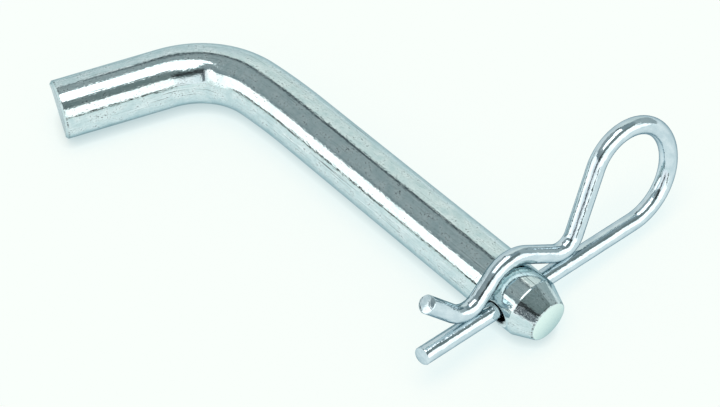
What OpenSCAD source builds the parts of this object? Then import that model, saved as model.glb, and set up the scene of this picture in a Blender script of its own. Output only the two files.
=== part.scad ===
// Bent hitch pin with an R clip through the cross hole at its nose.
// Lengths are in millimetres. The shank's axis is X, pointing to the nose, and Z is up.
// The origin is on the shank's axis where its straight length ends and the bend begins.
// The pin lies flat: the handle's axis is level with the shank's, on its -Y side.

/* [Pin] */
// Diameter of the round bar
pin_d = 15.875; // [14:0.125:18]
// Full-diameter straight length, from the bend to where the nose starts to taper
shank_length = 70.9; // [60:0.1:110]
// Length of the slim taper around the cross hole
taper_length = 10.6; // [9:0.1:14]
// How much the radius falls over the slim taper
taper_drop = 0.22; // [0.05:0.01:0.4]
// Length of the nose cone
cone_length = 5.5; // [3:0.1:8]
// Diameter of the flat face at the nose
face_d = 10.6; // [6:0.1:12]
// Radius that rounds the corner between the taper and the cone
cone_round = 1.2; // [0.4:0.1:2]

/* [Handle] */
// Radius of the gentle bow where the bend begins, at the bar's axis
bow_radius = 190; // [120:5:260]
// Turn of the gentle bow, in degrees
bow_turn = 5.3; // [3:0.1:8]
// Radius of the main bend, at the bar's axis
bend_radius = 25.5; // [22:0.5:40]
// Turn of the main bend, in degrees
bend_turn = 60; // [45:1:90]
// Straight length of the handle past the bend
handle_length = 29.3; // [20:0.1:60]
// Bevel around the handle's end
handle_bevel = 0.7; // [0.4:0.1:1.2]

/* [Cross hole] */
// Distance from the nose's flat face to the hole's axis
hole_from_face = 10.4; // [9.5:0.1:12]
// Diameter of the cross hole
hole_d = 5.95; // [5.9:0.05:6.4]
// Angle by which the hole dips towards the clip's eye, in degrees
hole_dip = 4.3; // [0:0.1:6]
// Depth of the countersink at each of the hole's two mouths
countersink = 1.3; // [0.8:0.1:1.5]

/* [Clip] */
// Diameter of the spring wire
wire_d = 4.5; // [4:0.05:4.6]
// Angle by which the leg lies askew in the hole, in degrees
leg_skew = 5.2; // [0:0.1:5.3]
// Angle by which the clip leans towards the handle, in degrees
clip_lean = 16; // [0:1:20]
// Length of leg that stands out past the hole's axis, away from the eye
leg_tip = 28.7; // [24:0.1:40]
// Length of leg from the hole's axis to the eye
leg_reach = 36; // [34:0.5:50]
// Bevel on the wire's two cut ends
wire_bevel = 0.35; // [0.2:0.05:0.6]

/* [Clip eye] */
// Radius of the eye's half next to the leg, at the wire's axis
eye_leg_radius = 13.7; // [12:0.1:16]
// Turn of the eye's half next to the leg, in degrees
eye_leg_turn = 118.5; // [105:0.5:130]
// Radius of the eye's half next to the arm, at the wire's axis
eye_arm_radius = 11.7; // [10:0.1:13]

/* [Clip arm] */
// Radius of the neck, where the arm comes down beside the leg
neck_radius = 5.2; // [4.5:0.1:7]
// Radius of the hump's crest over the pin
hump_radius = 9; // [8:0.1:10]
// Radius of the kink past the hump
kink_radius = 5.8; // [4.5:0.1:7]
// Slope of the hump's shoulder on the neck's side, in degrees
neck_slope = 31; // [26:1:36]
// Slope of the hump's shoulder on the kink's side, in degrees
kink_slope = 35.5; // [30:0.5:40]
// Slope at which the flared tip stands up, in degrees
flare_slope = 48.8; // [35:0.2:60]
// Straight length of the flared tip
flare_length = 9.3; // [6:0.1:14]
// Gap between the hump and the pin
grip_gap = 0.1; // [0.05:0.01:0.3]
// Gap between the arm and the leg, at the neck and at the kink
arm_gap = 0.1; // [0.05:0.01:0.3]

/* [Hidden] */
$fn = 64;
wire_facets = 32;
arc_facets = 96;
pin_r = pin_d / 2;
wire_r = wire_d / 2;
crease_x = shank_length + taper_length;
face_x = crease_x + cone_length;
hole_x = face_x - hole_from_face;
crease_r = pin_r - taper_drop;
face_r = face_d / 2;
round_steps = 6;
// A bend draws the bar this much thinner at each side.
bend_thinning = 0.02;
// A straight reaches this far into the bends at its ends.
bend_overlap = 0.2;

// The clip is drawn flat, with its leg on the X axis and the hole's axis at the origin.
// The hump's two shoulders are straight, and both clear the pin by the same gap.
seat_r = pin_r / cos(clip_lean) + wire_r + grip_gap;
hump_y = (seat_r - hump_radius) / cos(max(neck_slope, kink_slope));
neck_normal = [sin(neck_slope), cos(neck_slope)];
kink_normal = [-sin(kink_slope), cos(kink_slope)];
neck_y = wire_d + arm_gap + neck_radius;
kink_y = wire_d + arm_gap + kink_radius;
neck_at = beside_shoulder(neck_normal, neck_y, neck_radius);
kink_at = beside_shoulder(kink_normal, kink_y, kink_radius);
eye_arm_at = [leg_reach, eye_leg_radius]
    + (eye_leg_radius - eye_arm_radius) * [sin(eye_leg_turn), -cos(eye_leg_turn)];
eye_to_neck = neck_at - eye_arm_at;
arm_heading = 360 + atan2(eye_to_neck[1], eye_to_neck[0])
    + asin((eye_arm_radius + neck_radius) / norm(eye_to_neck));
arm_length = sqrt(pow(norm(eye_to_neck), 2) - pow(eye_arm_radius + neck_radius, 2));

// Each step is [length], or [radius, turn] with a positive turn to the left. Two bends
// that meet have a straight of no length between them.
HANDLE_PATH = [
    [bow_radius, bow_turn],
    [0],
    [bend_radius, bend_turn],
    [handle_length]
];
CLIP_PATH = [
    [leg_tip + leg_reach],
    [eye_leg_radius, eye_leg_turn],
    [0],
    [eye_arm_radius, arm_heading - eye_leg_turn],
    [arm_length],
    [neck_radius, 180 - neck_slope - arm_heading],
    [shoulder_length(neck_normal, neck_at, neck_radius)],
    [hump_radius, neck_slope + kink_slope],
    [shoulder_length(kink_normal, kink_at, kink_radius)],
    [kink_radius, -kink_slope - flare_slope],
    [flare_length]
];

// Centre of a bend at height y that runs on smoothly from the shoulder with this normal.
function beside_shoulder(normal, y, radius) =
    [(hump_y * normal[1] + hump_radius + radius - y * normal[1]) / normal[0], y];

// Straight length of a shoulder between the crest's bend and the next one.
function shoulder_length(normal, at, radius) =
    norm(at - radius * normal - [0, hump_y] - hump_radius * normal);

// Points of an arc in a profile, about a centre, between two angles.
function arc_points(centre, radius, from, to, steps) =
    [for (i = [0:steps]) let (a = from + (to - from) * i / steps)
        centre + radius * [cos(a), sin(a)]];

// Places its children where a bend ends, for a bar that comes in along +X.
module after_bend(radius, turn) {
    side = turn < 0 ? -1 : 1;
    translate([0, side * radius, 0])
        rotate([0, 0, turn])
            translate([0, -side * radius, 0])
                children();
}

// One bend of a round bar that comes in along +X at the origin.
module bend(bar_r, radius, turn) {
    side = turn < 0 ? -1 : 1;
    bar_facets = $fn;
    translate([0, side * radius, 0])
        rotate([0, 0, turn < 0 ? 90 + turn : -90])
            rotate_extrude(angle = abs(turn), $fn = arc_facets)
                translate([radius, 0])
                    circle(r = bar_r - bend_thinning, $fn = bar_facets);
}

// A straight round bar along +X, from x = from to x = to, whose two ends may be bevelled.
module straight(bar_r, from, to, from_bevel, to_bevel) {
    rotate([0, 90, 0])
        rotate_extrude()
            polygon(concat(
                [[0, from], [bar_r - from_bevel, from]],
                from_bevel > 0 ? [[bar_r, from + from_bevel]] : [],
                to_bevel > 0 ? [[bar_r, to - to_bevel]] : [],
                [[bar_r - to_bevel, to], [0, to]]
            ));
}

// Bends a bar along a path of steps, each set at the end of the one before. A free end is
// bevelled, and a straight that meets a bend reaches into it by the overlap.
module bent_bar(bar_r, path, bevel, i = 0) {
    last = len(path) - 1;
    if (len(path[i]) == 1) {
        straight(
            bar_r,
            i == 0 ? 0 : -bend_overlap,
            i == last ? path[i][0] : path[i][0] + bend_overlap,
            i == 0 ? bevel : 0,
            i == last ? bevel : 0
        );
        if (i < last)
            translate([path[i][0], 0, 0])
                bent_bar(bar_r, path, bevel, i + 1);
    } else {
        bend(bar_r, path[i][0], path[i][1]);
        if (i < last)
            after_bend(path[i][0], path[i][1])
                bent_bar(bar_r, path, bevel, i + 1);
    }
}

// The straight shank, the slim taper around the cross hole, the rounded corner, the cone
// and the flat face, as one turned shape.
module shank() {
    taper_angle = atan(taper_drop / taper_length);
    cone_angle = atan((crease_r - face_r) / cone_length);
    // The round touches the taper and the cone: its centre lies one radius inside both.
    setback = cone_round * tan((cone_angle - taper_angle) / 2);
    round_start = [
        crease_r + setback * sin(taper_angle),
        crease_x - setback * cos(taper_angle)
    ];
    centre = round_start - cone_round * [cos(taper_angle), sin(taper_angle)];
    rotate([0, 90, 0])
        rotate_extrude()
            polygon(concat(
                [[0, -bend_overlap], [pin_r, -bend_overlap], [pin_r, shank_length]],
                arc_points(centre, cone_round, taper_angle, cone_angle, round_steps),
                [[face_r, face_x], [0, face_x]]
            ));
}

// The cross hole with its two countersinks, as one turned shape.
module cross_hole() {
    hole_r = hole_d / 2;
    sink_z = crease_r - countersink;
    sink_r = hole_r + pin_d - sink_z;
    translate([hole_x, 0, 0])
        rotate([-90 - hole_dip, 0, 0])
            rotate_extrude()
                polygon([
                    [0, -pin_d],
                    [sink_r, -pin_d],
                    [hole_r, -sink_z],
                    [hole_r, sink_z],
                    [sink_r, pin_d],
                    [0, pin_d]
                ]);
}

// The round bar, turned about so that its handle runs back along -X from the origin.
module bent_pin() {
    color([0.74, 0.78, 0.80])
        difference() {
            union() {
                shank();
                rotate([0, 0, 180])
                    bent_bar(pin_r, HANDLE_PATH, handle_bevel);
            }
            cross_hole();
        }
}

// The spring wire clip: leg through the hole, eye on the +Y side, arm over the pin's top.
module r_clip() {
    color([0.78, 0.81, 0.86])
        translate([hole_x, 0, 0])
            rotate([0, hole_dip, 90 - leg_skew])
                rotate([90 - clip_lean, 0, 0])
                    translate([-leg_tip, 0, 0])
                        bent_bar(wire_r, CLIP_PATH, wire_bevel, $fn = wire_facets);
}

bent_pin();
r_clip();
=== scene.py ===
import bpy
import bmesh
from math import sin, cos, tan, atan, atan2, asin, sqrt, radians, degrees, hypot
from mathutils import Matrix, Vector


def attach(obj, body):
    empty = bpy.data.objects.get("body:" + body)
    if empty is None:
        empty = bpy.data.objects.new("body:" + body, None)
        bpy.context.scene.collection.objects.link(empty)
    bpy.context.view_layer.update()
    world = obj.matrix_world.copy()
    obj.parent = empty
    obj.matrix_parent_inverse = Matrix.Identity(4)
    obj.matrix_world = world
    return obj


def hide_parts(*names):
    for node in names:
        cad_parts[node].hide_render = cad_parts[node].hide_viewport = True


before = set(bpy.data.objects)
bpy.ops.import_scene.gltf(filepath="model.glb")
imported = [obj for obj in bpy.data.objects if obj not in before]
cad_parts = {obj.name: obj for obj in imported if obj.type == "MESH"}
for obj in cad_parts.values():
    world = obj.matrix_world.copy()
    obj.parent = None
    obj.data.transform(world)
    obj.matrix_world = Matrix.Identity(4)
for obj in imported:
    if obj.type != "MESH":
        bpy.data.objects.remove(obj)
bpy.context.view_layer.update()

MM = 0.001

# the pin's and clip's sizes, in mm and degrees
PIN_R = 7.9375
SHANK = 70.9
TAPER, TAPER_DROP = 10.6, 0.22
CONE, FACE_R, CREASE_ROUND = 5.5, 5.3, 1.2
NOSE_X = SHANK + TAPER + CONE
BOW_R, BOW_TURN = 190.0, 5.3
BEND_R, BEND_TURN = 25.5, 60.0
HANDLE, HANDLE_BEVEL = 29.3, 0.7
HOLE_X, HOLE_D, HOLE_DIP = NOSE_X - 10.4, 5.95, 4.3
SINK_Z = PIN_R - TAPER_DROP - 1.3

WIRE_R = 2.25
LEG_SKEW, CLIP_LEAN = 5.2, 16.0
LEG_TIP, LEG_REACH = 28.7, 36.0
EYE_LEG_R, EYE_LEG_TURN, EYE_ARM_R = 13.7, 118.5, 11.7
NECK_R, HUMP_R, KINK_R = 5.2, 9.0, 5.8
NECK_SLOPE, KINK_SLOPE, FLARE_SLOPE = 31.0, 35.5, 48.8
FLARE, WIRE_BEVEL, GAP = 9.3, 0.35, 0.1

# the pinch inside the bend: its place (as a share of the bend), side and depth, then its spread
PINCH_AT, PINCH_SIDE, PINCH_DEPTH = 0.5, -160.0, 0.75
PINCH_REACH = {"shank": 4.0, "handle": 6.5}
PINCH_SPREAD, PINCH_FALL = 52.0, 1.3

# how finely the pieces are drawn: facets around, and the spacing of the rings in mm
PIN_SIDES, PIN_SPACING = 96, 1.0
WIRE_SIDES, WIRE_SPACING = 40, 0.8
HOLE_SIDES = 72
LEAST_RING_GAP, SAME_PLACE = 0.12, 0.01

# a bend's rings lie no further apart than this share of its radius
BEND_STEP = 0.07

# the cutters' lengths and the distance that merges points, in metres; sharp edges, in degrees
DRILL_LENGTH, SINK_LENGTH = 0.03, 0.004
MERGE_WITHIN, SHARP_FROM = 1e-7, 28.0


# bent bars
def walk(x, y, heading, steps, spacing):
    """Points along straights [length] and bends [radius, turn], with the way come so far."""
    points, way = [(x, y)], [0.0]
    for step in steps:
        if len(step) == 1:
            length = step[0]
            count = max(1, round(length / spacing))
            for i in range(count):
                x += cos(radians(heading)) * length / count
                y += sin(radians(heading)) * length / count
                points.append((x, y))
                way.append(way[-1] + length / count)
        else:
            radius, turn = step
            side = 1 if turn > 0 else -1
            cx = x - side * radius * sin(radians(heading))
            cy = y + side * radius * cos(radians(heading))
            arc = radius * radians(abs(turn))
            count = max(3, round(arc / min(spacing, BEND_STEP * radius)))
            for i in range(count):
                heading += turn / count
                x = cx + side * radius * sin(radians(heading))
                y = cy - side * radius * cos(radians(heading))
                points.append((x, y))
                way.append(way[-1] + arc / count)
    return points, way


def at_way(points, way, s):
    """The point of the path at the way s."""
    for i in range(len(way) - 1):
        if s <= way[i + 1] + 1e-9:
            f = (s - way[i]) / (way[i + 1] - way[i])
            a, b = points[i], points[i + 1]
            return (a[0] + (b[0] - a[0]) * f, a[1] + (b[1] - a[1]) * f)
    return points[-1]


def rings_of(points, way, profile):
    """Joins the path's points with the turned profile's stations: (point, radius, way) rings."""
    stations = {round(s, 5): r for s, r in profile}
    marks = sorted(stations)

    def radius(s):
        for a, b in zip(marks, marks[1:]):
            if a <= s <= b:
                return stations[a] + (stations[b] - stations[a]) * (s - a) / (b - a)
        return stations[marks[-1]]

    wanted = list(marks)
    for s in way:
        if min(abs(s - m) for m in marks) > LEAST_RING_GAP:
            wanted.append(round(s, 5))
    wanted.sort()
    return [(at_way(points, way, s), radius(s), s) for s in wanted]


def path_object(name, rings, place):
    """A line of points, each with the bar's radius there and the way along the bar."""
    mesh = bpy.data.meshes.new(name)
    verts = [place @ Vector((x * MM, y * MM, 0)) for (x, y), _, _ in rings]
    mesh.from_pydata(verts, [(i, i + 1) for i in range(len(verts) - 1)], [])
    thick = mesh.attributes.new("bar_radius", "FLOAT", "POINT")
    along = mesh.attributes.new("along", "FLOAT", "POINT")
    for i, (_, r, s) in enumerate(rings):
        thick.data[i].value = r * MM
        along.data[i].value = s * MM
    obj = bpy.data.objects.new(name, mesh)
    bpy.context.scene.collection.objects.link(obj)
    return obj


def bar_tree(name, drilled):
    """Sweeps a round section along the line; a drilled bar also has a cross hole."""
    tree = bpy.data.node_groups.new(name, "GeometryNodeTree")
    io = tree.interface
    io.new_socket("Geometry", in_out="INPUT", socket_type="NodeSocketGeometry")
    io.new_socket("Geometry", in_out="OUTPUT", socket_type="NodeSocketGeometry")
    io.new_socket("Sides", in_out="INPUT", socket_type="NodeSocketInt")
    io.new_socket("Finish", in_out="INPUT", socket_type="NodeSocketMaterial")
    if drilled:
        io.new_socket("Hole radius", in_out="INPUT", socket_type="NodeSocketFloat")
        io.new_socket("Countersink from", in_out="INPUT", socket_type="NodeSocketFloat")
        io.new_socket("Hole centre", in_out="INPUT", socket_type="NodeSocketVector")
        io.new_socket("Hole turn", in_out="INPUT", socket_type="NodeSocketVector")
        io.new_socket("Hole finish and shade", in_out="INPUT", socket_type="NodeSocketMaterial")
        io.new_socket("Countersink finish and shade", in_out="INPUT", socket_type="NodeSocketMaterial")
    add, link = tree.nodes.new, tree.links.new
    ins, outs = add("NodeGroupInput"), add("NodeGroupOutput")

    to_curve = add("GeometryNodeMeshToCurve")
    link(ins.outputs["Geometry"], to_curve.inputs[0])
    thick = add("GeometryNodeInputNamedAttribute")
    thick.data_type = "FLOAT"
    thick.inputs["Name"].default_value = "bar_radius"

    section = add("GeometryNodeCurvePrimitiveCircle")
    section.mode = "RADIUS"
    section.inputs["Radius"].default_value = 1.0
    link(ins.outputs["Sides"], section.inputs["Resolution"])
    place = add("GeometryNodeInputPosition")
    around = add("GeometryNodeStoreNamedAttribute")
    around.data_type, around.domain = "FLOAT_VECTOR", "POINT"
    around.inputs["Name"].default_value = "around"
    link(section.outputs["Curve"], around.inputs["Geometry"])
    link(place.outputs[0], around.inputs["Value"])

    sweep = add("GeometryNodeCurveToMesh")
    sweep.inputs["Fill Caps"].default_value = True
    link(to_curve.outputs[0], sweep.inputs["Curve"])
    link(around.outputs[0], sweep.inputs["Profile Curve"])
    link(thick.outputs["Attribute"], sweep.inputs["Scale"])
    smooth = add("GeometryNodeSetShadeSmooth")
    link(sweep.outputs[0], smooth.inputs["Geometry"])
    finish = add("GeometryNodeSetMaterial")
    link(smooth.outputs[0], finish.inputs["Geometry"])
    link(ins.outputs["Finish"], finish.inputs["Material"])
    last = finish
    if drilled:
        drill = add("GeometryNodeMeshCylinder")
        drill.inputs["Vertices"].default_value = HOLE_SIDES
        drill.inputs["Depth"].default_value = DRILL_LENGTH
        link(ins.outputs["Hole radius"], drill.inputs["Radius"])
        drill_finish = add("GeometryNodeSetMaterial")
        link(drill.outputs["Mesh"], drill_finish.inputs["Geometry"])
        link(ins.outputs["Hole finish and shade"], drill_finish.inputs["Material"])
        cutters = [drill_finish]
        for turn in (0.0, radians(180)):
            sink = add("GeometryNodeMeshCone")
            sink.inputs["Vertices"].default_value = HOLE_SIDES
            sink.inputs["Depth"].default_value = SINK_LENGTH
            wide = calc(tree, "ADD", ins.outputs["Hole radius"], SINK_LENGTH)
            link(wide, sink.inputs["Radius Top"])
            link(ins.outputs["Hole radius"], sink.inputs["Radius Bottom"])
            start = add("ShaderNodeCombineXYZ")
            link(ins.outputs["Countersink from"], start.inputs["Z"])
            lift = add("GeometryNodeTransform")
            link(sink.outputs["Mesh"], lift.inputs["Geometry"])
            link(start.outputs[0], lift.inputs["Translation"])
            spin = add("GeometryNodeTransform")
            spin.inputs["Rotation"].default_value = (turn, 0, 0)
            link(lift.outputs[0], spin.inputs["Geometry"])
            sink_finish = add("GeometryNodeSetMaterial")
            link(spin.outputs[0], sink_finish.inputs["Geometry"])
            link(ins.outputs["Countersink finish and shade"], sink_finish.inputs["Material"])
            cutters.append(sink_finish)
        cut = add("GeometryNodeMeshBoolean")
        cut.operation = "DIFFERENCE"
        cut.solver = "EXACT"
        link(finish.outputs[0], cut.inputs["Mesh 1"])
        # Each cutter is a shape of its own: joined ones would leave discs across the hole.
        for cutter in cutters:
            move = add("GeometryNodeTransform")
            link(cutter.outputs[0], move.inputs["Geometry"])
            link(ins.outputs["Hole centre"], move.inputs["Translation"])
            link(ins.outputs["Hole turn"], move.inputs["Rotation"])
            link(move.outputs[0], cut.inputs["Mesh 2"])
        last = cut
    real = add("GeometryNodeRealizeInstances")
    link(last.outputs[0], real.inputs[0])
    link(real.outputs[0], outs.inputs[0])
    return tree


def bent_bar(name, line, tree, inputs):
    """Runs the tree on the line and keeps the result as one plain closed mesh."""
    modifier = line.modifiers.new("bar", "NODES")
    modifier.node_group = tree
    for socket in tree.interface.items_tree:
        if socket.in_out == "INPUT" and socket.name in inputs:
            modifier[socket.identifier] = inputs[socket.name]
    graph = bpy.context.evaluated_depsgraph_get()
    mesh = bpy.data.meshes.new_from_object(
        line.evaluated_get(graph), preserve_all_data_layers=True, depsgraph=graph
    )
    mesh.name = name
    line.modifiers.remove(modifier)
    old = line.data
    bpy.data.objects.remove(line)
    bpy.data.meshes.remove(old)
    bm = bmesh.new()
    bm.from_mesh(mesh)
    bmesh.ops.remove_doubles(bm, verts=bm.verts, dist=MERGE_WITHIN)
    bmesh.ops.recalc_face_normals(bm, faces=bm.faces)
    bm.to_mesh(mesh)
    bm.free()
    mesh.set_sharp_from_angle(angle=radians(SHARP_FROM))
    obj = bpy.data.objects.new(name, mesh)
    bpy.context.scene.collection.objects.link(obj)
    return obj


def shear_end(obj, bar_r, end, depth, side, reach, hinge=-1.0):
    """Slants a cut end of a bar: the edge on one side lies back from its place by the depth.

    The slant fades out over the reach. It starts at the hinge: -1 is the edge on the other
    side, 0 is the middle.
    """
    vertices = obj.data.vertices
    ways = [v.value / MM for v in obj.data.attributes["along"].data]
    inward = {i: abs(s - end) for i, s in enumerate(ways) if abs(s - end) < reach}

    def middle_of(distance):
        ring = [vertices[i].co for i, d in inward.items() if abs(d - distance) < SAME_PLACE]
        return sum(ring, Vector()) / len(ring)

    tip = middle_of(0.0)
    back = (middle_of(max(inward.values())) - tip).normalized()
    for i, distance in inward.items():
        out = vertices[i].co - tip
        out -= back * out.dot(back)
        share = (out.dot(side) / (bar_r * MM) - hinge) / (1 - hinge)
        vertices[i].co += back * (depth * MM * max(share, 0.0) * (1 - distance / reach))


# finishes: the colours of the plate, and of what shows through it; the bore's and the hole's dark
# colours are painted shade, and the cut faces' pale colour is partly a painted reflection
BAR_THIN, BAR_THICK, BAR_RIM = (0.56, 0.68, 0.69), (0.72, 0.80, 0.80), (0.44, 0.53, 0.56)
BAR_LINE, BAR_GRAIN = (0.40, 0.49, 0.49), (0.36, 0.44, 0.44)
SCORED, POLISHED, PITTED = (0.20, 0.24, 0.24), (0.92, 0.96, 0.96), (0.16, 0.19, 0.20)
# the cut faces' pale colour is partly sawn steel and partly a painted reflection of the lit table
TORN, SAWN_AND_PAINTED_REFLECTION = (0.14, 0.15, 0.15), (0.82, 0.94, 0.88)
WIRE_THIN, WIRE_THICK, WIRE_RIM = (0.54, 0.64, 0.68), (0.67, 0.75, 0.78), (0.24, 0.33, 0.38)
# the bore's colours are darker than the bar's: painted shade inside the hole
SHADED_BORE_THIN, SHADED_BORE_THICK = (0.30, 0.40, 0.45), (0.45, 0.56, 0.60)
SINK_THIN, SINK_THICK = (0.74, 0.84, 0.85), (0.88, 0.95, 0.95)
# near black painted shade, low down and deep in the cross hole
HOLE_PAINTED_SHADE = (0.02, 0.03, 0.035)


def nodes_of(material):
    """A material's node tree, holding only one shader on the surface."""
    material.use_nodes = True
    tree = material.node_tree
    tree.nodes.clear()
    out = tree.nodes.new("ShaderNodeOutputMaterial")
    shader = tree.nodes.new("ShaderNodeBsdfPrincipled")
    tree.links.new(shader.outputs[0], out.inputs["Surface"])
    return tree, shader


def unbent(tree, stretch):
    """Coordinates of the bar before it was bent: its unit ring, and its length times stretch."""
    around = tree.nodes.new("ShaderNodeAttribute")
    around.attribute_name = "around"
    along = tree.nodes.new("ShaderNodeAttribute")
    along.attribute_name = "along"
    split = tree.nodes.new("ShaderNodeSeparateXYZ")
    join = tree.nodes.new("ShaderNodeCombineXYZ")
    tree.links.new(around.outputs["Vector"], split.inputs[0])
    tree.links.new(split.outputs[0], join.inputs[0])
    tree.links.new(split.outputs[1], join.inputs[1])
    tree.links.new(calc(tree, "MULTIPLY", along.outputs["Fac"], stretch), join.inputs[2])
    return join.outputs[0]


def noise(tree, vector, scale, detail, rough):
    n = tree.nodes.new("ShaderNodeTexNoise")
    n.inputs["Scale"].default_value = scale
    n.inputs["Detail"].default_value = detail
    n.inputs["Roughness"].default_value = rough
    tree.links.new(vector, n.inputs["Vector"])
    return n.outputs["Fac"]


def bar_noise(tree, stretch, scale, detail, rough):
    """Noise that follows the bar round its bends."""
    return noise(tree, unbent(tree, stretch), scale, detail, rough)


def ramp(tree, value, low, high, to_low=0.0, to_high=1.0):
    """Runs from to_low where the value is low to to_high where it is high, and stays there."""
    m = tree.nodes.new("ShaderNodeMapRange")
    m.inputs["From Min"].default_value = low
    m.inputs["From Max"].default_value = high
    m.inputs["To Min"].default_value = to_low
    m.inputs["To Max"].default_value = to_high
    tree.links.new(value, m.inputs["Value"])
    return m.outputs["Result"]


def calc(tree, operation, a, b=None):
    """One math node; each of its values is a number or another node's output."""
    m = tree.nodes.new("ShaderNodeMath")
    m.operation = operation
    for socket, value in zip(m.inputs, (a, b)):
        if isinstance(value, (int, float)):
            socket.default_value = value
        elif value is not None:
            tree.links.new(value, socket)
    return m.outputs[0]


def times(tree, *values):
    total = values[0]
    for value in values[1:]:
        total = calc(tree, "MULTIPLY", total, value)
    return total


def sum_of(tree, *values):
    total = values[0]
    for value in values[1:]:
        total = calc(tree, "ADD", total, value)
    return total


def within(tree, value, low, high, soft):
    """One between low and high, nought outside, with soft edges."""
    rise = ramp(tree, value, low - soft, low + soft)
    fall = ramp(tree, value, high - soft, high + soft, 1.0, 0.0)
    return times(tree, rise, fall)


def blend_colour(tree, factor, a, b):
    """Colour a where the factor is nought, colour b where it is one."""
    m = tree.nodes.new("ShaderNodeMix")
    m.data_type = "RGBA"
    for socket, value in ((m.inputs[6], a), (m.inputs[7], b)):
        if isinstance(value, tuple):
            socket.default_value = (*value, 1)
        else:
            tree.links.new(value, socket)
    tree.links.new(factor, m.inputs[0])
    return m.outputs[2]


def bump(tree, height, depth, shader, before=None):
    """Adds relief of this depth, on top of the relief before it."""
    b = tree.nodes.new("ShaderNodeBump")
    b.inputs["Strength"].default_value = 1.0
    b.inputs["Distance"].default_value = depth
    tree.links.new(height, b.inputs["Height"])
    if before is not None:
        tree.links.new(before, b.inputs["Normal"])
    tree.links.new(b.outputs[0], shader.inputs["Normal"])
    return b.outputs[0]


def bare_metal(name, rim=None):
    """A metal material, its node tree and its shader; a rim colour tints what it shows edge on."""
    material = bpy.data.materials.new(name)
    tree, shader = nodes_of(material)
    shader.inputs["Metallic"].default_value = 1.0
    if rim:
        shader.inputs["Specular Tint"].default_value = (*rim, 1)
    return material, tree, shader


def zinc_on_bar():
    """Bright zinc plate on hot-rolled bar: draw lines along it, a mottled cast and small pits."""
    material, tree, shader = bare_metal("zinc plated bar", BAR_RIM)
    lines = bar_noise(tree, stretch=7.0, scale=24.0, detail=4.0, rough=0.6)
    waves = bar_noise(tree, stretch=45.0, scale=20.0, detail=3.0, rough=0.6)
    scratches = bar_noise(tree, stretch=2.2, scale=30.0, detail=2.0, rough=0.45)
    mottle = bar_noise(tree, stretch=100.0, scale=3.0, detail=4.0, rough=0.6)
    specks = bar_noise(tree, stretch=110.0, scale=17.0, detail=3.0, rough=0.65)
    grain = bar_noise(tree, stretch=80.0, scale=17.0, detail=0.5, rough=0.5)
    drag = bar_noise(tree, stretch=30.0, scale=1.6, detail=1.0, rough=0.5)

    cast = blend_colour(tree, ramp(tree, mottle, 0.35, 0.65), BAR_THIN, BAR_THICK)
    cast = blend_colour(tree, ramp(tree, lines, 0.46, 0.36, 0.0, 0.25), cast, BAR_LINE)
    cast = blend_colour(tree, ramp(tree, grain, 0.60, 0.72, 0.0, 0.25), cast, BAR_GRAIN)
    dragged = ramp(tree, drag, 0.50, 0.62)
    scored = times(tree, ramp(tree, scratches, 0.65, 0.68), dragged)
    polished = times(tree, ramp(tree, scratches, 0.35, 0.32), dragged)
    pitted = times(tree, ramp(tree, specks, 0.58, 0.64), ramp(tree, mottle, 0.48, 0.60))
    cast = blend_colour(tree, scored, cast, SCORED)
    cast = blend_colour(tree, polished, cast, POLISHED)
    cast = blend_colour(tree, pitted, cast, PITTED)

    # the cut ends: edges torn along the draw lines, and plain faces painted pale, partly as sawn
    # steel and partly as a painted reflection of the lit table before them
    along = tree.nodes.new("ShaderNodeAttribute")
    along.attribute_name = "along"
    way, end = along.outputs["Fac"], bar_length()
    edge = end - HANDLE_BEVEL
    saw_edge = within(tree, way, (edge - 0.35) * MM, (edge + 0.1) * MM, 0.1 * MM)
    nose_edge = within(tree, way, 0.05 * MM, 0.4 * MM, 0.04 * MM)
    torn = times(tree, sum_of(tree, saw_edge, nose_edge), ramp(tree, lines, 0.50, 0.56))
    cast = blend_colour(tree, torn, cast, TORN)
    # the faces' pale colour: partly sawn steel, partly a painted reflection of the lit table
    nose_face = ramp(tree, way, 0.005 * MM, 0.015 * MM, 1.0, 0.0)
    saw_face = ramp(tree, way, (end - 0.015) * MM, (end - 0.005) * MM)
    cast = blend_colour(tree, sum_of(tree, nose_face, saw_face), cast, SAWN_AND_PAINTED_REFLECTION)
    tree.links.new(cast, shader.inputs["Base Color"])

    dull = ramp(tree, sum_of(tree, lines, specks), 0.7, 1.35, 0.04, 0.13)
    tree.links.new(dull, shader.inputs["Roughness"])
    relief = bump(tree, lines, 0.000007, shader)
    relief = bump(tree, scratches, 0.000012, shader, relief)
    relief = bump(tree, grain, 0.000019, shader, relief)
    relief = bump(tree, waves, 0.000006, shader, relief)
    bump(tree, mottle, 0.000016, shader, relief)
    return material


def zinc_on_wire():
    """Smooth bright zinc plate on drawn spring wire."""
    material, tree, shader = bare_metal("zinc plated wire", WIRE_RIM)
    lines = bar_noise(tree, stretch=20.0, scale=10.0, detail=3.0, rough=0.5)
    mottle = bar_noise(tree, stretch=200.0, scale=1.6, detail=3.0, rough=0.55)
    cast = blend_colour(tree, ramp(tree, mottle, 0.35, 0.65), WIRE_THIN, WIRE_THICK)
    tree.links.new(cast, shader.inputs["Base Color"])
    tree.links.new(ramp(tree, lines, 0.35, 0.7, 0.05, 0.14), shader.inputs["Roughness"])
    relief = bump(tree, lines, 0.000003, shader)
    bump(tree, mottle, 0.0001, shader, relief)
    return material


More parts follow.
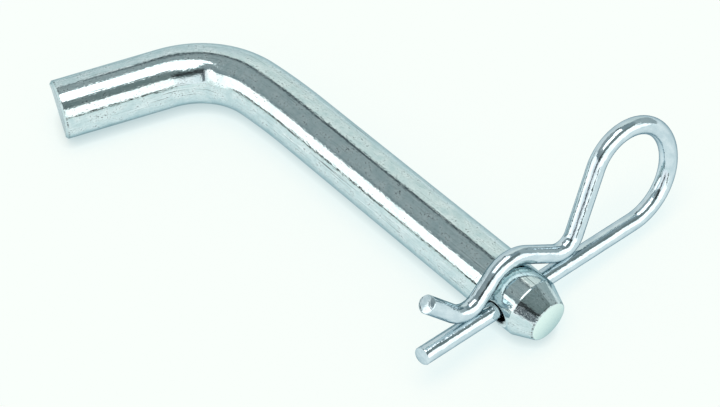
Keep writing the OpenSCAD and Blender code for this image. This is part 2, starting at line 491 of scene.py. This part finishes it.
def zinc_in_hole(name, thin, thick, dull):
    """Plate inside the cross hole, with the cutter's turning marks; painted shade, near black, low
    down and deep in.
    """
    material, tree, shader = bare_metal(name)
    where = tree.nodes.new("ShaderNodeTexCoord")
    turned = tree.nodes.new("ShaderNodeMapping")
    turned.inputs["Rotation"].default_value = (radians(90 + HOLE_DIP), 0, 0)
    turned.inputs["Scale"].default_value = (300, 300, 6000)
    tree.links.new(where.outputs["Object"], turned.inputs["Vector"])
    marks = noise(tree, turned.outputs[0], scale=1.0, detail=3.0, rough=0.6)
    tint = blend_colour(tree, ramp(tree, marks, 0.3, 0.7), thin, thick)
    split = tree.nodes.new("ShaderNodeSeparateXYZ")
    tree.links.new(where.outputs["Object"], split.inputs[0])
    _, y, z = split.outputs
    from_axis = calc(tree, "ABSOLUTE", y)
    # painted shade: near black where the hole lies deep in and low down
    deep = ramp(tree, from_axis, (SINK_Z + 0.4) * MM, (SINK_Z + 0.7) * MM, 1.0, 0.0)
    low = ramp(tree, z, -2.0 * MM, -1.3 * MM, 1.0, 0.0)
    tint = blend_colour(tree, times(tree, deep, low), tint, HOLE_PAINTED_SHADE)
    tree.links.new(tint, shader.inputs["Base Color"])
    tree.links.new(ramp(tree, marks, 0.3, 0.7, dull - 0.1, dull + 0.1), shader.inputs["Roughness"])
    bump(tree, marks, 0.00005, shader)
    return material


# the bent pin
def bar_length():
    """Length along the axis, from the nose's flat face to the handle's end."""
    return NOSE_X + BOW_R * radians(BOW_TURN) + BEND_R * radians(BEND_TURN) + HANDLE


def turned_ends():
    """The bar's radius along its length, from the nose's flat face to the handle's end."""
    crease_r = PIN_R - TAPER_DROP
    taper = atan(TAPER_DROP / TAPER)
    slope = (crease_r - FACE_R) / CONE
    cone = atan(slope)
    # the flat face's edge is broken a little
    edge = 0.25
    profile = [
        (0, FACE_R - edge),
        (edge * 0.3, FACE_R - edge * 0.12),
        (edge, FACE_R + slope * edge),
    ]
    back = CREASE_ROUND * tan((cone - taper) / 2)
    start = (CONE + back * cos(taper), crease_r + back * sin(taper))
    centre = (start[0] + CREASE_ROUND * sin(taper), start[1] - CREASE_ROUND * cos(taper))
    steps = 6
    for i in range(steps + 1):
        a = cone + (taper - cone) * i / steps
        profile.append((centre[0] - CREASE_ROUND * sin(a), centre[1] + CREASE_ROUND * cos(a)))
    end = bar_length()
    profile += [(CONE + TAPER, PIN_R), (end - HANDLE_BEVEL, PIN_R), (end, PIN_R - HANDLE_BEVEL)]
    return profile


def make_pin():
    steps = [[NOSE_X], [BOW_R, BOW_TURN], [BEND_R, BEND_TURN], [HANDLE]]
    points, way = walk(NOSE_X, 0, 180, steps, PIN_SPACING)
    line = path_object("pin line", rings_of(points, way, turned_ends()), Matrix.Identity(4))
    inputs = {
        "Sides": PIN_SIDES,
        "Finish": zinc_on_bar(),
        "Hole radius": HOLE_D / 2 * MM,
        "Countersink from": SINK_Z * MM,
        "Hole centre": (HOLE_X * MM, 0, 0),
        "Hole turn": (radians(-90 - HOLE_DIP), 0, 0),
        "Hole finish and shade": zinc_in_hole("zinc plated bore with painted shade", SHADED_BORE_THIN, SHADED_BORE_THICK, 0.3),
        "Countersink finish and shade": zinc_in_hole("zinc plated countersink with painted shade", SINK_THIN, SINK_THICK, 0.5),
    }
    pin = bent_bar("bent_bar", line, bar_tree("drilled round bar", True), inputs)
    pinch_bend(pin)
    towards = Vector((0.55, -0.253, 0.796))
    shear_end(pin, PIN_R, bar_length(), depth=1.5, side=towards, reach=4.2, hinge=0.0)
    return pin


def pinch_bend(obj):
    """Presses in the inner side where the bar was folded over its former: a shallow crease."""
    middle = NOSE_X + BOW_R * radians(BOW_TURN) + BEND_R * radians(BEND_TURN) * PINCH_AT
    along = [v.value for v in obj.data.attributes["along"].data]
    around = [v.vector.copy() for v in obj.data.attributes["around"].data]
    deepest = Vector((cos(radians(PINCH_SIDE)), sin(radians(PINCH_SIDE)), 0))
    normals = [v.normal.copy() for v in obj.data.vertices]
    for vertex, s, ring, normal in zip(obj.data.vertices, along, around, normals):
        far = s / MM - middle
        reach = PINCH_REACH["handle" if far > 0 else "shank"]
        far = abs(far)
        if far < reach and ring.length > 0.5:
            turn = ring.normalized().angle(deepest)
            fade = max(0.0, 1 - (turn / radians(PINCH_SPREAD)) ** 2)
            vertex.co -= normal * (PINCH_DEPTH * MM * (1 - far / reach) ** PINCH_FALL * fade)


# the wire clip
def clip_steps():
    """The clip's straights and bends, from the leg's tip to the flared tip."""
    seat = PIN_R / cos(radians(CLIP_LEAN)) + WIRE_R + GAP
    hump_y = (seat - HUMP_R) / cos(radians(max(NECK_SLOPE, KINK_SLOPE)))

    def beside(slope, side, radius):
        """Centre of the bend past a shoulder of the hump, and the shoulder's length."""
        n = (side * sin(radians(slope)), cos(radians(slope)))
        y = 2 * WIRE_R + GAP + radius
        x = (hump_y * n[1] + HUMP_R + radius - y * n[1]) / n[0]
        across = x - radius * n[0] - HUMP_R * n[0]
        down = y - radius * n[1] - hump_y - HUMP_R * n[1]
        return x, y, hypot(across, down)

    nx, ny, neck_side = beside(NECK_SLOPE, 1, NECK_R)
    _, _, kink_side = beside(KINK_SLOPE, -1, KINK_R)
    step = EYE_LEG_R - EYE_ARM_R
    ex = LEG_REACH + step * sin(radians(EYE_LEG_TURN))
    ey = EYE_LEG_R - step * cos(radians(EYE_LEG_TURN))
    far = hypot(nx - ex, ny - ey)
    arm = 360 + degrees(atan2(ny - ey, nx - ex)) + degrees(asin((EYE_ARM_R + NECK_R) / far))
    return [
        [LEG_TIP + LEG_REACH],
        [EYE_LEG_R, EYE_LEG_TURN],
        [EYE_ARM_R, arm - EYE_LEG_TURN],
        [sqrt(far ** 2 - (EYE_ARM_R + NECK_R) ** 2)],
        [NECK_R, 180 - NECK_SLOPE - arm],
        [neck_side],
        [HUMP_R, NECK_SLOPE + KINK_SLOPE],
        [kink_side],
        [KINK_R, -KINK_SLOPE - FLARE_SLOPE],
        [FLARE],
    ]


def make_clip():
    points, way = walk(-LEG_TIP, 0, 0, clip_steps(), WIRE_SPACING)
    end = way[-1]
    bevel = WIRE_BEVEL
    profile = [
        (0, WIRE_R - bevel),
        (0.35 * bevel, WIRE_R - 0.3 * bevel),
        (bevel, WIRE_R),
        (end - bevel, WIRE_R),
        (end - 0.35 * bevel, WIRE_R - 0.3 * bevel),
        (end, WIRE_R - bevel),
    ]
    place = (
        Matrix.Translation((HOLE_X * MM, 0, 0))
        @ Matrix.Rotation(radians(90 - LEG_SKEW), 4, "Z")
        @ Matrix.Rotation(radians(HOLE_DIP), 4, "Y")
        @ Matrix.Rotation(radians(90 - CLIP_LEAN), 4, "X")
    )
    line = path_object("clip line", rings_of(points, way, profile), place)
    inputs = {"Sides": WIRE_SIDES, "Finish": zinc_on_wire()}
    clip = bent_bar("clip_wire", line, bar_tree("round wire", False), inputs)
    shear_end(clip, WIRE_R, 0.0, depth=1.1, side=Vector((0.6, 0.0, 0.8)), reach=1.8)
    shear_end(clip, WIRE_R, end, depth=0.9, side=Vector((0.5, -0.35, 0.79)), reach=1.8)
    return clip


# the studio
# how far the painted contact shadow reaches, the table's colour, its painted contact shadow, and
# its glow for the camera and for the metal
FLOOR_HALF, CONTACT_SHADE_REACH = 1.6, 0.003
FLOOR_PLAIN, FLOOR_PAINTED_SHADOW = (0.34, 0.20, 0.10), (0.36, 0.51, 0.57)
FLOOR_SEEN, FLOOR_MIRRORED = (0.632, 0.810, 0.869), (0.656, 0.867, 0.964)

# what the metal mirrors: left and right are -X and +X, near and far are -Y and +Y
CEILING, CEILING_RIM, CEILING_CORNER = (0.33, 0.38, 0.39), (0.07, 0.09, 0.10), (0.25, 0.32, 0.34)
CEILING_NEAR, CEILING_STRIP = (0.22, 0.27, 0.29), (0.19, 0.235, 0.235)
WALL_BRIGHT, WALL_NEAR, WALL_LEFT = (1.5, 1.52, 1.5), (1.0, 1.03, 1.05), (0.70, 0.77, 0.78)
WALL_FAR, WALL_FAR_RIGHT = (0.76, 0.83, 0.81), (0.38, 0.45, 0.46)
WALL_FOOT, SKIRTING = (0.84, 0.95, 0.93), (0.02, 0.025, 0.025)
COLUMN_FOOT, COLUMN_HEAD = (0.03, 0.045, 0.06), (0.02, 0.02, 0.022)
ROOM_LIGHT = 1.13

# what the camera sees past the floor, and what lights all else
BACKDROP, PLAIN_LIGHT = (0.948, 1.0, 0.965), (0.66, 0.68, 0.69)


def pale_floor():
    """A pale table that keeps a light soft shadow; where the metal touches it, a painted contact
    shadow turns its glow a darker blue.
    """
    mesh = bpy.data.meshes.new("floor")
    z = -PIN_R * MM
    corners = [(x * FLOOR_HALF, y * FLOOR_HALF, z) for x, y in ((-1, -1), (1, -1), (1, 1), (-1, 1))]
    mesh.from_pydata(corners, [], [(0, 1, 2, 3)])
    floor = bpy.data.objects.new("floor", mesh)
    bpy.context.scene.collection.objects.link(floor)
    material = bpy.data.materials.new("pale table")
    tree, shader = nodes_of(material)
    shader.inputs["Base Color"].default_value = (*FLOOR_PLAIN, 1)
    shader.inputs["Roughness"].default_value = 0.9
    shader.inputs["Specular IOR Level"].default_value = 0.0
    ray = tree.nodes.new("ShaderNodeLightPath")
    glow = blend_colour(tree, ray.outputs["Is Glossy Ray"], FLOOR_SEEN, FLOOR_MIRRORED)
    # painted contact shadow: ambient occlusion turns the glow a darker blue within a few mm of the
    # metal
    near = tree.nodes.new("ShaderNodeAmbientOcclusion")
    near.samples = 16
    near.inputs["Distance"].default_value = CONTACT_SHADE_REACH
    glow = blend_colour(tree, near.outputs["AO"], FLOOR_PAINTED_SHADOW, glow)
    tree.links.new(glow, shader.inputs["Emission Color"])
    seen = sum_of(tree, ray.outputs["Is Camera Ray"], ray.outputs["Is Glossy Ray"])
    tree.links.new(seen, shader.inputs["Emission Strength"])
    mesh.materials.append(material)


def mirrored_room(tree, way):
    """Pale walls low all round, a skirting, a dark column on the near side and a dim ceiling."""

    def band(value, low, high, soft):
        return within(tree, value, low, high, soft)

    def rise(value, low, high, to_low=0.0, to_high=1.0):
        return ramp(tree, value, low, high, to_low, to_high)

    def fall(value, low, high):
        return ramp(tree, value, low, high, 1.0, 0.0)

    def where(*parts):
        return times(tree, *parts)

    def paint(place, under, over):
        return blend_colour(tree, place, under, over)

    split = tree.nodes.new("ShaderNodeSeparateXYZ")
    tree.links.new(way, split.inputs[0])
    x, y, z = split.outputs

    # the ceiling is flat: p runs to the right on it and q to the far side, per unit of height
    up = calc(tree, "MAXIMUM", z, 0.05)
    p, q = calc(tree, "DIVIDE", x, up), calc(tree, "DIVIDE", y, up)
    stepped = calc(tree, "SUBTRACT", q, rise(p, -0.5, -0.25, 0.0, 0.6))
    ceiling = where(band(p, -1.05, 1.05, 0.05), band(q, -1.0, 9.0, 0.03), fall(stepped, 0.54, 0.60))
    dim = paint(band(stepped, 0.38, 0.66, 0.04), CEILING, CEILING_RIM)
    dim = paint(where(rise(p, -0.4, -0.2), rise(q, 0.3, 0.4)), dim, CEILING_CORNER)
    dim = paint(fall(q, -0.9, -0.55), dim, CEILING_NEAR)
    dim = paint(band(p, 0.36, 1.15, 0.05), dim, CEILING_STRIP)

    # the walls: round_near says how far round to the right a place on the near side lies
    round_near = calc(tree, "DIVIDE", x, calc(tree, "MAXIMUM", where(y, -1), 0.05))
    near_side = fall(y, -0.25, -0.15)
    wall = paint(where(band(round_near, -0.1, 1.5, 0.15), near_side), WALL_BRIGHT, WALL_NEAR)
    far_wall = paint(rise(sum_of(tree, x, where(y, 0.3)), -0.12, 0.0), WALL_FAR, WALL_FAR_RIGHT)
    beyond = calc(tree, "SUBTRACT", y, where(calc(tree, "MAXIMUM", x, 0), 1.15))
    wall = paint(rise(beyond, 0.0, 0.12), wall, far_wall)
    wall = paint(fall(x, -0.72, -0.62), wall, WALL_LEFT)
    wall = paint(where(fall(z, 0.07, 0.08), near_side), wall, WALL_FOOT)
    past_middle = calc(tree, "SUBTRACT", 1.0, band(round_near, -0.3, 1.5, 0.15))
    wall = paint(where(band(z, 0.075, 0.17, 0.008), near_side, past_middle), wall, SKIRTING)
    room = paint(ceiling, wall, dim)

    # the column: a narrow foot and a wide head, with ragged gaps
    foot = where(band(round_near, 0.33, 0.80, 0.04), band(z, 0.22, 0.67, 0.02))
    head = where(band(round_near, 0.33, 1.6, 0.06), band(z, 0.67, 0.82, 0.02))
    gaps = rise(noise(tree, way, scale=30.0, detail=2.0, rough=0.6), 0.60, 0.56)
    dark = paint(rise(z, 0.62, 0.68), COLUMN_FOOT, COLUMN_HEAD)
    return paint(where(sum_of(tree, foot, head), near_side, gaps), room, dark)


def studio_room():
    """The room for what the metal mirrors, white for the camera and plain light for all else."""
    world = bpy.data.worlds.new("room")
    bpy.context.scene.world = world
    world.use_nodes = True
    tree = world.node_tree
    tree.nodes.clear()
    add, link = tree.nodes.new, tree.links.new
    mirrored = add("ShaderNodeBackground")
    mirrored.inputs["Strength"].default_value = ROOM_LIGHT
    way = add("ShaderNodeTexCoord")
    link(mirrored_room(tree, way.outputs["Generated"]), mirrored.inputs["Color"])
    white = add("ShaderNodeBackground")
    white.inputs["Color"].default_value = (*BACKDROP, 1)
    plain = add("ShaderNodeBackground")
    plain.inputs["Color"].default_value = (*PLAIN_LIGHT, 1)
    ray = add("ShaderNodeLightPath")
    lit = add("ShaderNodeMixShader")
    link(ray.outputs["Is Glossy Ray"], lit.inputs[0])
    link(plain.outputs[0], lit.inputs[1])
    link(mirrored.outputs[0], lit.inputs[2])
    seen = add("ShaderNodeMixShader")
    link(ray.outputs["Is Camera Ray"], seen.inputs[0])
    link(lit.outputs[0], seen.inputs[1])
    link(white.outputs[0], seen.inputs[2])
    out = add("ShaderNodeOutputWorld")
    link(seen.outputs[0], out.inputs["Surface"])


def overhead_softbox():
    lamp = bpy.data.lights.new("overhead softbox", "AREA")
    lamp.shape = "RECTANGLE"
    lamp.size, lamp.size_y = 1.06, 1.8
    lamp.energy = 13
    obj = bpy.data.objects.new("overhead softbox", lamp)
    obj.location = (-0.01, 0.0, 2.0)
    bpy.context.scene.collection.objects.link(obj)


def set_camera():
    """A long lens that looks down on the pin's near side, from beyond its nose."""
    data = bpy.data.cameras.new("camera")
    data.sensor_width, data.sensor_fit = 36.0, "HORIZONTAL"
    data.lens = 89.753
    data.clip_start, data.clip_end = 0.01, 20
    obj = bpy.data.objects.new("camera", data)
    right = Vector((0.66552, 0.7401, -0.09662)).normalized()
    back = Vector((0.50227, -0.34832, 0.79145)).normalized()
    up = back.cross(right).normalized()
    right = up.cross(back)
    obj.matrix_world = Matrix((
        (right.x, up.x, back.x, 0.25142),
        (right.y, up.y, back.y, -0.16114),
        (right.z, up.z, back.z, 0.34935),
        (0, 0, 0, 1),
    ))
    bpy.context.scene.collection.objects.link(obj)
    bpy.context.scene.camera = obj


# putting it together
pin = make_pin()
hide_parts("bent_pin")
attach(pin, "pin")

clip = make_clip()
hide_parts("r_clip")
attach(clip, "clip")

pale_floor()
studio_room()
overhead_softbox()
set_camera()
bpy.context.scene.view_settings.view_transform = "Standard"
